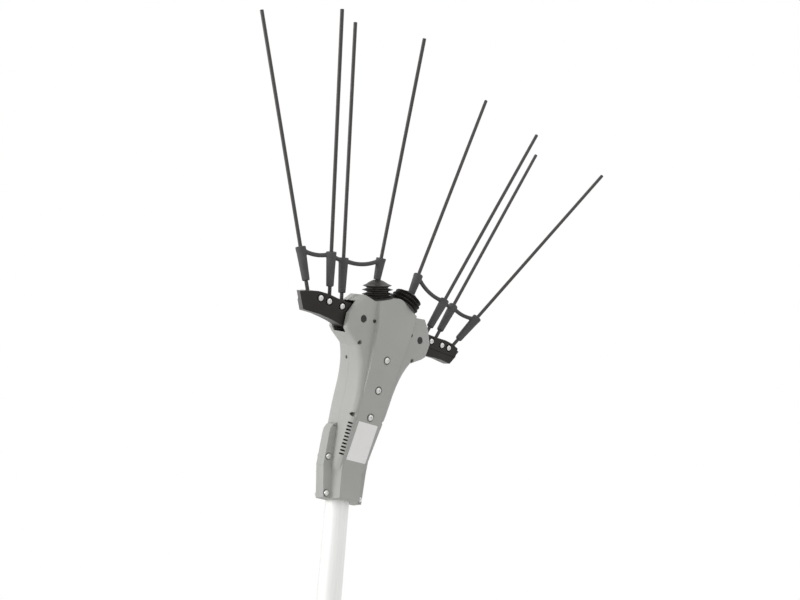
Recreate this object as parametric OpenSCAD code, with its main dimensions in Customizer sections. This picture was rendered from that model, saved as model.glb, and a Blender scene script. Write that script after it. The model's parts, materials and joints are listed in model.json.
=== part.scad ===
// Electric olive harvester: a two-rake beater head on the top of its aluminium pole.
// The origin is the centre of the pole's lower end, +Z runs up the pole and -Y is the front.
// The head leans forward on the pole, and its own frame has the two rake pivots at height 0.

/* [Pole] */
// Outside diameter of the pole tube
pole_d = 35; // [30:0.5:38]
// Wall of the pole tube
pole_wall = 1.5; // [1:0.1:3]
// Length of the pole below the clamp
pole_free_len = 296; // [150:1:600]

/* [Clamp] */
// Angle between the pole and the head
lean = 18.6; // [10:0.1:24]
// Height of the bend above the lower end of the clamp
bend_rise = 39; // [34:1:46]
// Width across the clamp flanges at the lower end
clamp_w = 72; // [70:1:76]
// Width of the flat on the front of the clamp
clamp_flat_w = 38; // [32:1:42]
// Width of the clamp where its sides meet the flanges
clamp_root_w = 51; // [48:1:53]
// Pole axis to the front of the clamp
clamp_front = 28; // [25:0.5:30]
// Pole axis to the back of the clamp
clamp_back = 22; // [20.5:0.5:24]
// Pole axis to the front of the flanges
flange_front = 12; // [10:0.5:14]
// Pole axis to the back of the flanges
flange_back = 5; // [4:0.5:8]
// Distance between the lower flange screws, side to side
flange_screw_w = 63; // [61:0.5:64]

/* [Head] */
// Distance between the two rake pivots
pivot_span = 116; // [112:1:120]
// Width across the ears
ear_w = 167; // [165:1:172]
// Depth of the head over the ears
ear_depth = 51; // [50:1:56]
// Height of the lower edges of the roof above the pivots
shoulder_h = 31; // [30:0.5:33]
// Slope of the roof
roof_slope = 24.5; // [20:0.5:27]
// Width of the two roof slopes together
roof_w = 84; // [80:1:90]
// Rounding of the roof ridge
ridge_r = 20; // [12:1:30]
// Depth of the lower end of the ears below the pivots
ear_drop = 38.5; // [37:0.5:42]
// Rise of the middle panel over the ears
panel_rise = 6; // [4:0.5:8]
// Width of the middle panel at the shoulders
panel_top_w = 76; // [70:1:80]
// Width of the middle panel at its waist
panel_waist_w = 54; // [48:1:56]
// Width of the middle panel at the clamp
panel_low_w = 38; // [34:1:40]
// Wall of the shells
wall = 3.5; // [2.5:0.25:4]

/* [Neck] */
// Distance from the pivots down to the bend
bend_drop = 227; // [222:1:240]
// Width of the neck at its screws
neck_w = 61; // [61:1:66]
// Width of the neck at the clamp
neck_low_w = 54; // [53:1:58]
// Depth of the neck
neck_depth = 66; // [62:1:70]
// Depth of the neck at the clamp
neck_low_depth = 52; // [50:1:54]
// Reach of the curve from the ears into the neck
flare_len = 38; // [30:1:42]
// Rounding of the neck's long edges
neck_edge_r = 9; // [6:0.5:11]
// Count of vent slots on each side of the neck
vent_count = 10; // [6:1:10]

/* [Rake] */
// Reach of a rake arm from its pivot
arm_reach = 106; // [102:1:110]
// Depth of a rake arm, front to back
arm_depth = 26; // [24:0.5:27]
// Depth of a rake arm below its pivot at the root
arm_root_h = 20.5; // [19.5:0.5:21.5]
// Reach of the inner lever of a rake arm
lever_reach = 43; // [41:1:45]
// Height of the inner lever
lever_h = 22; // [18:1:24]
// Distance from the pivot to the drive pin and the innermost rod
lever_r = 33; // [31:0.5:35]

/* [Rods] */
// Diameter of the beater rods
rod_d = 5.5; // [4.5:0.5:6]
// Length of the beater rods
rod_len = 430; // [300:5:500]
// Outside diameter of a rubber sleeve at its lower end
sleeve_low_d = 11; // [9:0.5:12]
// Outside diameter of a rubber sleeve at its upper end
sleeve_top_d = 15; // [12:0.5:16]
// Length of a rubber sleeve
sleeve_len = 52; // [40:1:60]
// Thickness of the webs between the sleeves
web_d = 6.5; // [4:0.5:7]

/* [Bellows] */
// Outside diameter of the bellows
bellows_d = 48; // [44:1:49]
// Bore of the bellows
bellows_bore = 28; // [26:1:29]
// Count of ribs above the base flange
rib_count = 3; // [2:1:4]
// Distance between ribs
rib_pitch = 7; // [6:0.5:7.5]

/* [Drive] */
// Diameter of the motor
motor_d = 42; // [36:1:43]
// Crank axis below the pivots
crank_drop = 52; // [50:1:54]
// Throw of the crank
crank_throw = 5.7; // [5:0.1:6.2]
// Diameter of the crank roller
roller_d = 11; // [9:0.5:12]

/* [Hidden] */
$fn = 48;

// Clearances
overrun = 2;
fit_gap = 0.05;
run_gap = 0.3;
slide_gap = 0.2;

// Pole and clamp
pole_top = 10;
bend_h = pole_free_len + bend_rise;
flange_mid = 10;
flange_mid_w = 82;
flange_lean = 10;
flange_corners = [[41.5, 47], [40.5, 53], [37.5, 58.5], [32, 62], [24, 63]];
flange_screw_low = 6.5;
flange_screw_high = 61;
flange_high_w = 70;

// Head form: heights are measured from the pivots, up is positive
ridge_h = shoulder_h + roof_w / 2 * tan(roof_slope);
crown_h = ridge_h + overrun;
ear_side_drop = 21;
ear_side_w = 162;
ear_foot_drop = 27;
ear_foot_w = 148;
ear_low_w = 110;
ear_top_h = 20;
ear_top_w = 150;
shoulder_slope = 9;
shoulder_w = 128;
shoulder_top = shoulder_h + (shoulder_w - roof_w) / 2 * tan(shoulder_slope);
crown_w = 116;
crown_depth = 46;
ear_crown_depth = 37;
panel_mid_w = 67;
panel_fade = 1;
panel_fade_drop = 110;
waist_drop = 60;
neck_screw_drop = 136;
taper_drop = 125;
neck_end_drop = bend_drop - 22;
ear_edge_w = 10;
ear_edge_depth = 6;
neck_edge_depth = 12;
edge_limit_share = 0.9;
panel_slope_share = 0.3;
arc_steps = 4;
neck_steps = 12;
station_power = 1.6;
cavity_drop = 203;
wire_d = 12;
slot_half_depth = 14.5;
slot_in = 44;
slot_drop = 26;
slot_rise = 22;
roof_bore = 21;

// Screws and bolts
centre_screw_drops = [47, 93, 134];
centre_head_d = 9;
centre_head_h = 3.4;
centre_sink_d = 12.6;
centre_sink = 3.5;
centre_boss_d = 17;
centre_boss_h = 8;
centre_shank_d = 5;
ear_screw_w = 106;
ear_screw_drop = 34;
neck_screw_w = 57;
case_boss_d = 11;
case_head_d = 5.8;
case_head_h = 4;
case_sink_d = 6.4;
case_sink_floor = 14;
case_shank_d = 4;
case_thread_len = 12;
flange_head_d = 8.4;
flange_head_h = 4;
flange_sink_d = 10;
flange_sink = 3;
flange_shank_d = 5;
flange_nut_d = 9.2;
flange_nut_h = 4;
pivot_shank_d = 6;
pivot_head_d = 10;
pivot_head_h = 4.2;
pivot_nut_d = 11.5;
pivot_nut_h = 5;
pivot_sink = 4.5;
pivot_sink_d = 11;
pivot_nut_sink_d = 13;
pivot_boss_d = 18;
pivot_sleeve_d = 10;
pivot_bush_d = 14;
small_hole_d = 4.4;
small_hole_w = 76;
small_hole_h = 2.3;
side_hole_d = 5;
side_hole_back = 6;
side_hole_drop = 58;

// Vents
vent_top_drop = 149;
vent_pitch = 5.1;
vent_h = 2.3;
vent_len = 7;
vent_deep = 9;
vent_turn = 45;
vent_place_share = 0.45;
clamp_flat_shares = [0.97, 0.94];

// Rake arm outlines as shares of its reach, of its root height and of half its depth
arm_side_shares = [[0.1, 0.76], [0.43, 0.78], [0.6, 0.83], [0.76, 0.76], [0.875, 0.585], [1.1, 0.19],
    [1.1, -0.82], [0.79, -0.77], [0.645, -0.72], [0.48, -0.76], [0.345, -0.83], [0.23, -0.94], [0.1, -1]];
arm_end_h = 7;
arm_end_tilt = 30;
arm_end_turn = 23;
arm_hub_d = 38;
bar_shares = [0.24, 0.885];
bar_split_share = -0.5;
bar_foot_share = -0.15;
bar_end_share = 1.2;
bar_relief = 1.5;
clamp_screw_places = [34.2, 58.4, 74];
clamp_screw_h = 7.2;
clamp_head_d = 8.4;
clamp_head_h = 3.5;
clamp_sink_d = 12.4;
clamp_sink = 3;
clamp_shank_d = 5;
clamp_nut_d = 9.2;
clamp_nut_h = 3;

// Rods: place of each foot from the pivot, its splay outwards and its lean to the back
rod_foot_out = [85.4, 49, 24, -lever_r];
rod_foot_back = [-9.8, -4, -7, -7];
rod_foot_h = [16, 16, 16, 20];
rod_splay = [24.7, 20, 16.3, 10.1];
rod_lean = [-11.2, 4, -1, 4.5];
rod_seat = [18, 20, 20, 14];
rod_trim = [9, 8, 3, 1];
rod_boss_d = 15;
sleeve_start = [11.5, 15, 13, 53];
sleeve_short = [2.5, 1.5, 0, 24];
web_sag = [4.5, 2.5, 3.5];
web_levels = [3.5, 3.5, 3.5, 3];
web_steps = 10;
web_sides = 8;

// Bellows
bellows_base_h = 5.5;
bellows_base_d = 41;
bellows_root_d = 33;
bellows_neck_d = 21;
bellows_cone_h = 5;
bellows_shift = 1.2;
rib_steps = [0, 1.5, 4, 7];
rib_shares = [0.5, 0.68, 0.82, 1];

// Drive train: depths are measured from the middle plane, front is negative
arm_half = arm_depth / 2;
boss_face = arm_half + run_gap;
pivot_seat = ear_depth / 2 - pivot_sink;
yoke_front = 21;
yoke_back = 15;
yoke_bar_h = 16;
yoke_bar_w = pivot_span - lever_r * 2 + yoke_bar_h;
yoke_stem_w = 16;
yoke_eye_w = 35;
yoke_eye_h = 24;
yoke_play = 0.45;
pin_play = 0.15;
pin_slide = 0.9;
pin_d = 6;
pin_back = 5;
guide_w = 40;
guide_top_drop = 12;
guide_low_drop = 64;
rail_w = 5;
rail_top_drop = 14;
rail_low_drop = 34;
crank_disc_d = 24;
crank_disc_front = 14;
crank_disc_back = 9.3;
crank_shaft_d = 10;
crank_shaft_end = 12;
crank_pin_d = 6;
crank_roller_front = 20.8;
crank_roller_back = 14.2;
bearing_d = 22;
bearing_front = 9;
gear_front = 3;
gear_back = 24;
gear_w = 42;
gear_top_drop = 28;
gear_low_drop = 73;
gear_boss_d = 28;
gear_flange_h = 3;
motor_top_drop = gear_low_drop + gear_flange_h;
motor_low_drop = 184;
motor_cap_h = 7;
motor_cap_d = 34;
saddle_w = 26;
saddle_top_drop = 85;
saddle_low_drop = 142;
saddle_lip = 5;
cradle_drops = [98, 150];
cradle_t = 3;

// Frames
module head_frame() {
    translate([0, 0, bend_h])
    rotate([lean, 0, 0])
    translate([0, 0, bend_drop])
    children();
}

module bend_frame() {
    translate([0, 0, -bend_drop])
    rotate([-lean, 0, 0])
    children();
}

// A rake is drawn for the right side, and the left one is the same piece turned half round
module rake_frame(side) {
    head_frame()
    rotate([0, 0, side > 0 ? 0 : 180])
    translate([pivot_span / 2, 0, 0])
    children();
}

// A straight cylinder from the front depth to the back depth
module across(d, from, to) {
    translate([0, to, 0])
    rotate([90, 0, 0])
    cylinder(d = d, h = to - from);
}

module hex_across(d, from, to) {
    translate([0, to, 0])
    rotate([90, 0, 0])
    cylinder(d = d, h = to - from, $fn = 6);
}

module at_sides(w, h) {
    for (side = [-1, 1]) {
        translate([side * w / 2, 0, h])
        children();
    }
}

// Half widths and half depths of the head and the neck at any height
function panel_half(z) = lookup(z, [
    [-bend_drop, panel_low_w / 2],
    [-waist_drop, panel_waist_w / 2],
    [0, panel_mid_w / 2],
    [shoulder_h, panel_top_w / 2]]);

function front_half(z) = lookup(z, [
    [-bend_drop, neck_low_depth / 2],
    [-taper_drop, neck_depth / 2],
    [-waist_drop, neck_depth / 2],
    [0, ear_depth / 2 + panel_rise],
    [ridge_h, crown_depth / 2]]);

function step_half(z) = lookup(z, [
    [-panel_fade_drop, panel_fade],
    [-ear_drop, panel_rise],
    [0, panel_rise],
    [ridge_h, (crown_depth - ear_crown_depth) / 2]]);

function neck_half(z) = lookup(z, [
    [-bend_drop, neck_low_w / 2],
    [-neck_screw_drop, neck_w / 2]]);

function ear_half(z) = lookup(z, [
    [-ear_drop, ear_low_w / 2],
    [-ear_foot_drop, ear_foot_w / 2],
    [-ear_side_drop, ear_side_w / 2],
    [0, ear_w / 2],
    [ear_top_h, ear_top_w / 2],
    [shoulder_top, shoulder_w / 2],
    [ridge_h, crown_w / 2]]);

function side_half(z) = z < -ear_drop
    ? neck_half(z) + (ear_low_w - neck_w) / 2 * exp((z + ear_drop) / flare_len)
    : ear_half(z);

function edge_r(z) = lookup(z, [
    [-waist_drop, neck_edge_r],
    [-ear_foot_drop, ear_edge_w]]);

function edge_depth(z) = lookup(z, [
    [-waist_drop, neck_edge_depth],
    [-ear_foot_drop, ear_edge_depth]]);

// One quarter of a ring, from the side to the middle panel
function quarter(z, inset) = let(
    panel = panel_half(z),
    front = front_half(z) - inset,
    step = front - step_half(z),
    side = side_half(z) - inset,
    foot = panel + step_half(z) * panel_slope_share,
    rx = min(edge_r(z), (side - foot) * edge_limit_share),
    ry = edge_depth(z))
    concat(
        [for (i = [0 : arc_steps])
            let(a = 90 * i / arc_steps)
            [side - rx + rx * cos(a), step - ry + ry * sin(a)]],
        [[foot, step], [panel, front]]);

function flip(points) = [for (i = [len(points) - 1 : -1 : 0]) points[i]];

// A whole outline from a quarter for its back and a quarter for its front
function outline(back, front) = concat(
    back,
    [for (p = flip(back)) [-p.x, p.y]],
    [for (p = front) [-p.x, -p.y]],
    [for (p = flip(front)) [p.x, -p.y]]);

function ring(z, inset) = let(q = quarter(z, inset)) [for (p = outline(q, q)) [p.x, p.y, z]];

// One quarter of the clamp block, and its ring at a height above the bend
function clamp_quarter(low, high, inset) = concat(
    [for (i = [0 : arc_steps])
        let(t = i / arc_steps)
        [(clamp_root_w + (clamp_flat_w - clamp_root_w) * t) / 2 - inset, low + (high - low) * t - inset]],
    [for (share = clamp_flat_shares) [clamp_flat_w / 2 * share, high - inset]]);

function clamp_ring(s, inset) = let(
    points = outline(
        clamp_quarter(flange_back - overrun, clamp_back, inset),
        clamp_quarter(flange_front - overrun, clamp_front, inset)))
    [for (p = points) [
        p.x,
        p.y * cos(lean) + s * sin(lean),
        s * cos(lean) - p.y * sin(lean) - bend_drop]];

stations = concat(
    [for (i = [neck_steps : -1 : 0])
        -ear_drop - (neck_end_drop - ear_drop) * pow(i / neck_steps, station_power)],
    [-ear_foot_drop, -ear_side_drop, 0, ear_top_h, shoulder_top, crown_h]);

// A closed skin through a list of rings that run upwards
module skin(rings) {
    n = len(rings[0]);
    top = len(rings) - 1;
    low = [for (j = [0 : n - 1]) j];
    high = [for (j = [n - 1 : -1 : 0]) top * n + j];
    sides = [for (i = [0 : top - 1], j = [0 : n - 1], half = [0, 1])
        let(k = (j + 1) % n)
        half == 0
            ? [i * n + j, (i + 1) * n + j, (i + 1) * n + k]
            : [i * n + j, (i + 1) * n + k, i * n + k]];
    polyhedron([for (r = rings, p = r) p], concat([low, high], sides));
}

// The outline under the roof, seen from the front, lowered by a wall
module roof_prism(drop) {
    arc_h = ridge_h - ridge_r / cos(roof_slope);
    arc = [for (i = [0 : arc_steps * 2])
        let(a = roof_slope * (i / arc_steps - 1))
        [-ridge_r * sin(a), arc_h + ridge_r * cos(a)]];
    outer_h = shoulder_h + (ear_w - roof_w / 2) * tan(shoulder_slope);
    rotate([90, 0, 0])
    linear_extrude(neck_depth * 2, center = true)
    translate([0, -drop])
    polygon(concat(
        [[-ear_w, -bend_drop * 2], [ear_w, -bend_drop * 2], [ear_w, outer_h], [roof_w / 2, shoulder_h]],
        arc,
        [[-roof_w / 2, shoulder_h], [-ear_w, outer_h]]));
}

module head_form(inset, low) {
    intersection() {
        skin(concat(
            [clamp_ring(-bend_rise - overrun, inset), clamp_ring(0, inset)],
            [for (z = stations) ring(z, inset)]));
        roof_prism(inset);
        translate([-ear_w, -neck_depth, -low])
        cube([ear_w * 2, neck_depth * 2, low + crown_h + overrun]);
    }
}

// Flanges, in the frame of the bend: they lean with the neck above it
module flanges() {
    foot = -bend_rise - overrun;
    low = [[clamp_w / 2, foot], [flange_mid_w / 2, flange_mid], [-flange_mid_w / 2, flange_mid],
        [-clamp_w / 2, foot]];
    translate([0, flange_back, 0])
    rotate([90, 0, 0])
    linear_extrude(flange_front + flange_back)
    polygon(low);
    translate([0, 0, flange_mid])
    rotate([flange_lean, 0, 0])
    translate([0, flange_back, 0])
    rotate([90, 0, 0])
    linear_extrude(flange_front + flange_back)
    polygon(concat(
        [[-flange_mid_w / 2, -overrun], [flange_mid_w / 2, -overrun]],
        flange_corners,
        [for (p = flip(flange_corners)) [-p.x, p.y]]));
}

module housing_form() {
    difference() {
        union() {
            head_form(0, bend_drop * 2);
            bend_frame()
            flanges();
        }
        bend_frame()
        translate([-ear_w, -ear_w, -bend_rise - ear_w])
        cube([ear_w * 2, ear_w * 2, ear_w]);
    }
}

// Everything on one side of the parting face, which bends with the pole
module parting(side) {
    reach = bend_rise + overrun;
    rotate([90, 0, 90])
    linear_extrude(ear_w * 2, center = true)
    polygon([
        [0, crown_h + overrun],
        [0, -bend_drop],
        [-reach * sin(lean), -bend_drop - reach * cos(lean)],
        [side * neck_depth, -bend_drop - reach * cos(lean)],
        [side * neck_depth, crown_h + overrun]]);
}

// The hollow of the head, the side slots, the pole bore and the roof openings
module housing_hollow() {
    head_form(wall, cavity_drop);
    for (side = [-1, 1]) {
        translate([side > 0 ? slot_in : -ear_w, -slot_half_depth, -slot_drop])
        cube([ear_w - slot_in, slot_half_depth * 2, slot_drop + slot_rise]);
        rotate([0, 0, side > 0 ? 0 : 180])
        translate(rod_at_roof)
        rotate([0, roof_slope, 0])
        cylinder(d = roof_bore, h = wall * 4, center = true);
    }
    bend_frame()
    translate([0, 0, -bend_rise - overrun])
    cylinder(d = pole_d + fit_gap * 2, h = bend_rise + pole_top + overrun);
    translate([0, 0, -bend_drop])
    cylinder(d = wire_d, h = bend_drop - cavity_drop + overrun);
}

module vents() {
    for (side = [-1, 1], i = [0 : vent_count - 1]) {
        z = -vent_top_drop - i * vent_pitch;
        x = side_half(z) - edge_r(z) * vent_place_share;
        y = front_half(z) - step_half(z) - edge_depth(z) * vent_place_share;
        translate([side * x, -y, z])
        rotate([0, 0, -side * vent_turn])
        cube([vent_deep, vent_len, vent_h], center = true);
    }
}

// Screw bosses that join the two shells at the ears and the neck
module case_bosses() {
    at_sides(ear_screw_w, -ear_screw_drop)
    across(case_boss_d, -neck_depth / 2, neck_depth / 2);
    at_sides(neck_screw_w, -neck_screw_drop)
    across(case_boss_d, -neck_depth / 2, neck_depth / 2);
}

module pivot_bosses() {
    at_sides(pivot_span, 0) {
        across(pivot_boss_d, -neck_depth / 2, -boss_face);
        across(pivot_boss_d, boss_face, neck_depth / 2);
    }
}

module case_holes(from, to) {
    at_sides(ear_screw_w, -ear_screw_drop)
    across(case_shank_d + fit_gap * 2, from, to);
    at_sides(neck_screw_w, -neck_screw_drop)
    across(case_shank_d + fit_gap * 2, from, to);
    at_sides(pivot_span, 0) {
        across(pivot_shank_d + fit_gap * 2, -neck_depth, neck_depth);
        across(pivot_sink_d, -neck_depth, -pivot_seat);
        across(pivot_nut_sink_d, pivot_seat, neck_depth);
    }
}

// The places of the flange screws: the upper pair stands square on the leaning part of the flanges
module at_flange_screws() {
    at_sides(flange_screw_w, flange_screw_low - bend_rise)
    children();
    translate([0, 0, flange_mid])
    rotate([flange_lean, 0, 0])
    at_sides(flange_high_w, flange_screw_high - bend_rise - flange_mid)
    children();
}

module flange_holes() {
    bend_frame()
    at_flange_screws() {
        across(flange_shank_d + fit_gap * 2, -neck_depth, neck_depth);
        across(flange_sink_d, -neck_depth, flange_sink - flange_front);
        across(flange_sink_d, flange_back, neck_depth);
    }
}

// Ribs of the rear shell that carry the motor, and the pad behind the gearbox
module cradle() {
    for (drop = cradle_drops) {
        translate([-neck_w / 2, 0, -drop - cradle_t])
        cube([neck_w, neck_depth / 2, cradle_t]);
    }
    translate([-gear_w / 4, gear_back, -gear_low_drop])
    cube([gear_w / 2, neck_depth / 2 - gear_back, gear_low_drop - gear_top_drop]);
}

module shell_half(side) {
    intersection() {
        parting(side);
        union() {
            difference() {
                housing_form();
                housing_hollow();
            }
            intersection() {
                head_form(0, cavity_drop);
                union() {
                    case_bosses();
                    pivot_bosses();
                    if (side > 0) {
                        cradle();
                    } else {
                        for (drop = centre_screw_drops) {
                            translate([0, 0, -drop])
                            across(centre_boss_d, -neck_depth / 2, centre_boss_h - neck_depth / 2);
                        }
                    }
                }
            }
        }
    }
}

module front_shell() {
    color([0.61, 0.61, 0.59])
    head_frame()
    difference() {
        shell_half(-1);
        vents();
        case_holes(-neck_depth, overrun);
        flange_holes();
        at_sides(ear_screw_w, -ear_screw_drop)
        across(case_sink_d, -neck_depth, -case_sink_floor);
        at_sides(neck_screw_w, -neck_screw_drop)
        across(case_sink_d, -neck_depth, -case_sink_floor);
        at_sides(small_hole_w, small_hole_h)
        across(small_hole_d, -neck_depth, -yoke_front);
        for (drop = centre_screw_drops) {
            translate([0, 0, -drop]) {
                across(centre_sink_d, -neck_depth, centre_sink - neck_depth / 2);
                across(centre_shank_d + fit_gap * 2, -neck_depth, -yoke_front);
            }
        }
    }
}

module rear_shell() {
    color([0.61, 0.61, 0.59])
    head_frame()
    difference() {
        shell_half(1);
        case_holes(-overrun, case_thread_len);
        flange_holes();
        translate([0, 0, -motor_low_drop])
        cylinder(d = motor_d + fit_gap * 2, h = motor_low_drop - motor_top_drop);
        for (side = [-1, 1]) {
            translate([side * ear_low_w / 2, side_hole_back, -side_hole_drop])
            rotate([0, 90, 0])
            cylinder(d = side_hole_d, h = neck_low_w, center = true);
        }
    }
}

module pole_tube() {
    color([0.86, 0.87, 0.88])
    difference() {
        cylinder(d = pole_d, h = bend_h + pole_top);
        translate([0, 0, -overrun])
        cylinder(d = pole_d - pole_wall * 2, h = bend_h + pole_top + overrun * 2);
    }
}

// A screw from the front, with a round head in front of its seat and a plain shank
module front_screw(head_d, head_h, shank_d, seat, tip) {
    across(head_d, seat - head_h, seat);
    across(shank_d, seat, tip);
}

module centre_screws() {
    color("silver")
    head_frame()
    for (drop = centre_screw_drops) {
        translate([0, 0, -drop])
        front_screw(centre_head_d, centre_head_h, centre_shank_d,
            centre_sink - neck_depth / 2, -yoke_front - slide_gap * 2);
    }
}

module ear_screws() {
    color("dimgray")
    head_frame()
    at_sides(ear_screw_w, -ear_screw_drop)
    front_screw(case_head_d, case_head_h, case_shank_d, -case_sink_floor, case_thread_len - fit_gap);
}

module neck_screws() {
    color("dimgray")
    head_frame()
    at_sides(neck_screw_w, -neck_screw_drop)
    front_screw(case_head_d, case_head_h, case_shank_d, -case_sink_floor, case_thread_len - fit_gap);
}

module flange_screws() {
    color("silver")
    head_frame()
    bend_frame()
    at_flange_screws()
    front_screw(flange_head_d, flange_head_h, flange_shank_d,
        flange_sink - flange_front, flange_back + flange_nut_h);
}

module flange_nuts() {
    color("silver")
    head_frame()
    bend_frame()
    at_flange_screws()
    difference() {
        hex_across(flange_nut_d, flange_back, flange_back + flange_nut_h);
        across(flange_shank_d + fit_gap * 2, 0, neck_depth);
    }
}

module pivot_bolt(side) {
    color([0.2, 0.2, 0.2])
    head_frame()
    translate([side * pivot_span / 2, 0, 0]) {
        across(pivot_head_d, -pivot_seat - pivot_head_h, -pivot_seat);
        across(pivot_shank_d, -pivot_seat, pivot_seat + pivot_nut_h);
    }
}

module left_pivot_bolt() {
    pivot_bolt(-1);
}

module right_pivot_bolt() {
    pivot_bolt(1);
}

module pivot_nuts() {
    color([0.2, 0.2, 0.2])
    head_frame()
    at_sides(pivot_span, 0)
    difference() {
        hex_across(pivot_nut_d, pivot_seat, pivot_seat + pivot_nut_h);
        across(pivot_shank_d + fit_gap * 2, 0, neck_depth);
    }
}

module pivot_sleeve(side) {
    color("silver")
    head_frame()
    translate([side * pivot_span / 2, 0, 0])
    difference() {
        across(pivot_sleeve_d, -boss_face, boss_face);
        across(pivot_shank_d + fit_gap * 2, -neck_depth, neck_depth);
    }
}

module left_pivot_sleeve() {
    pivot_sleeve(-1);
}

module right_pivot_sleeve() {
    pivot_sleeve(1);
}

module motor_can() {
    color([0.35, 0.36, 0.38])
    head_frame()
    translate([0, 0, -motor_low_drop])
    cylinder(d = motor_d, h = motor_low_drop - motor_top_drop);
}

module motor_end_cap() {
    color([0.12, 0.12, 0.12])
    head_frame()
    translate([0, 0, -motor_low_drop - motor_cap_h])
    cylinder(d = motor_cap_d, h = motor_cap_h);
}

module motor_saddle() {
    color([0.2, 0.2, 0.2])
    head_frame()
    difference() {
        translate([-saddle_w / 2, centre_boss_h - neck_depth / 2, -saddle_low_drop])
        cube([saddle_w, saddle_lip + neck_depth / 2 - centre_boss_h - motor_d / 2 + saddle_lip,
            saddle_low_drop - saddle_top_drop]);
        translate([0, 0, -motor_low_drop])
        cylinder(d = motor_d + fit_gap * 2, h = motor_low_drop - motor_top_drop);
        for (drop = centre_screw_drops) {
            translate([0, 0, -drop])
            across(centre_shank_d + fit_gap * 2, -neck_depth, 0);
        }
    }
}

module gearbox() {
    color([0.55, 0.56, 0.58])
    head_frame()
    difference() {
        union() {
            translate([-gear_w / 2, -gear_front, -gear_low_drop])
            cube([gear_w, gear_front + gear_back, gear_low_drop - gear_top_drop]);
            translate([0, 0, -motor_top_drop])
            cylinder(d = motor_d, h = gear_flange_h);
            translate([0, 0, -crank_drop])
            across(gear_boss_d, -bearing_front, -gear_front);
        }
        translate([0, 0, -crank_drop]) {
            across(bearing_d, -bearing_front - overrun, -gear_front);
            across(crank_shaft_d + fit_gap * 2, -bearing_front, crank_shaft_end + slide_gap);
        }
    }
}

module crank_bearing() {
    color("silver")
    head_frame()
    translate([0, 0, -crank_drop])
    difference() {
        across(bearing_d, -bearing_front, -gear_front);
        across(crank_shaft_d + fit_gap * 2, -neck_depth, neck_depth);
    }
}

module yoke_guide() {
    color([0.85, 0.85, 0.82])
    head_frame()
    difference() {
        union() {
            translate([-guide_w / 2, centre_boss_h - neck_depth / 2, -guide_low_drop])
            cube([guide_w, neck_depth / 2 - centre_boss_h - yoke_front - slide_gap,
                guide_low_drop - guide_top_drop]);
            for (side = [-1, 1]) {
                translate([side * (yoke_stem_w / 2 + slide_gap + rail_w / 2) - rail_w / 2,
                    centre_boss_h - neck_depth / 2, -rail_low_drop])
                cube([rail_w, neck_depth / 2 - centre_boss_h - yoke_back, rail_low_drop - rail_top_drop]);
            }
        }
        translate([0, 0, -centre_screw_drops[0]])
        across(centre_shank_d + fit_gap * 2, -neck_depth, 0);
    }
}

// The yoke: a bar over both drive pins, a stem in the guide and an eye for the crank roller
module drive_yoke() {
    color([0.62, 0.6, 0.55])
    head_frame()
    translate([0, -yoke_back, 0])
    rotate([90, 0, 0])
    linear_extrude(yoke_front - yoke_back)
    difference() {
        union() {
            square([yoke_bar_w, yoke_bar_h], center = true);
            translate([-yoke_stem_w / 2, -crank_drop])
            square([yoke_stem_w, crank_drop]);
            translate([0, -crank_drop])
            square([yoke_eye_w, yoke_eye_h], center = true);
        }
        for (side = [-1, 1]) {
            translate([side * (pivot_span / 2 - lever_r), 0])
            slot(pin_d + pin_play * 2, pin_slide * 2);
        }
        translate([0, -crank_drop])
        slot(roller_d + yoke_play * 2, crank_throw * 2 + yoke_play * 2);
    }
}

// A slot of the given width whose round ends are the given run apart
module slot(w, run) {
    square([run, w], center = true);
    for (side = [-1, 1]) {
        translate([side * run / 2, 0])
        circle(d = w);
    }
}

module crank_disc() {
    color("silver")
    head_frame()
    translate([0, 0, -crank_drop]) {
        difference() {
            across(crank_disc_d, -crank_disc_front, -crank_disc_back);
            translate([crank_throw, 0, 0])
            across(crank_pin_d, -neck_depth, 0);
        }
        across(crank_shaft_d, -crank_disc_back, crank_shaft_end);
    }
}

module crank_pin() {
    color("silver")
    head_frame()
    translate([crank_throw, 0, -crank_drop])
    across(crank_pin_d, -yoke_front, -crank_disc_back);
}

module crank_roller() {
    color([0.7, 0.6, 0.3])
    head_frame()
    translate([crank_throw, 0, -crank_drop])
    difference() {
        across(roller_d, -crank_roller_front, -crank_roller_back);
        across(crank_pin_d + fit_gap * 2, -neck_depth, neck_depth);
    }
}

// Rods of a rake: the frame of rod i has its origin at the foot and +Z up the rod
module rod_frame(i) {
    translate([rod_foot_out[i], rod_foot_back[i], rod_foot_h[i]])
    rotate([-atan(tan(rod_lean[i]) * cos(rod_splay[i])), rod_splay[i], 0])
    children();
}

function rod_dir(i) = let(d = [tan(rod_splay[i]), tan(rod_lean[i]), 1]) d / norm(d);

function rod_point(i, s) = [rod_foot_out[i], rod_foot_back[i], rod_foot_h[i]] + rod_dir(i) * s;

// The innermost rod where it meets the roof, and the seat of the bellows around it
roof_normal = [sin(roof_slope), 0, cos(roof_slope)];
roof_edge = [roof_w / 2, 0, shoulder_h];
inner_foot = [pivot_span / 2, 0, 0] + rod_point(3, 0);
bellows_top = bellows_base_h + rib_count * rib_pitch + bellows_cone_h / 2;
function rise_to(h) = (h - (inner_foot - roof_edge) * roof_normal) / (rod_dir(3) * roof_normal);
rod_at_roof = inner_foot + rod_dir(3) * rise_to(0);
roof_upwards = [-cos(roof_slope), 0, sin(roof_slope)];
bellows_seat = inner_foot + rod_dir(3) * rise_to(bellows_top) - roof_normal * bellows_top
    + roof_upwards * bellows_shift;

module rod(side, i) {
    color([0.16, 0.16, 0.17])
    rake_frame(side)
    rod_frame(i)
    translate([0, 0, -rod_seat[i]])
    cylinder(d = rod_d, h = rod_len - rod_trim[i]);
}

module rod_bores() {
    for (i = [0 : 3]) {
        rod_frame(i)
        translate([0, 0, -rod_seat[i]])
        cylinder(d = rod_d + fit_gap * 2, h = rod_len);
    }
}

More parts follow.
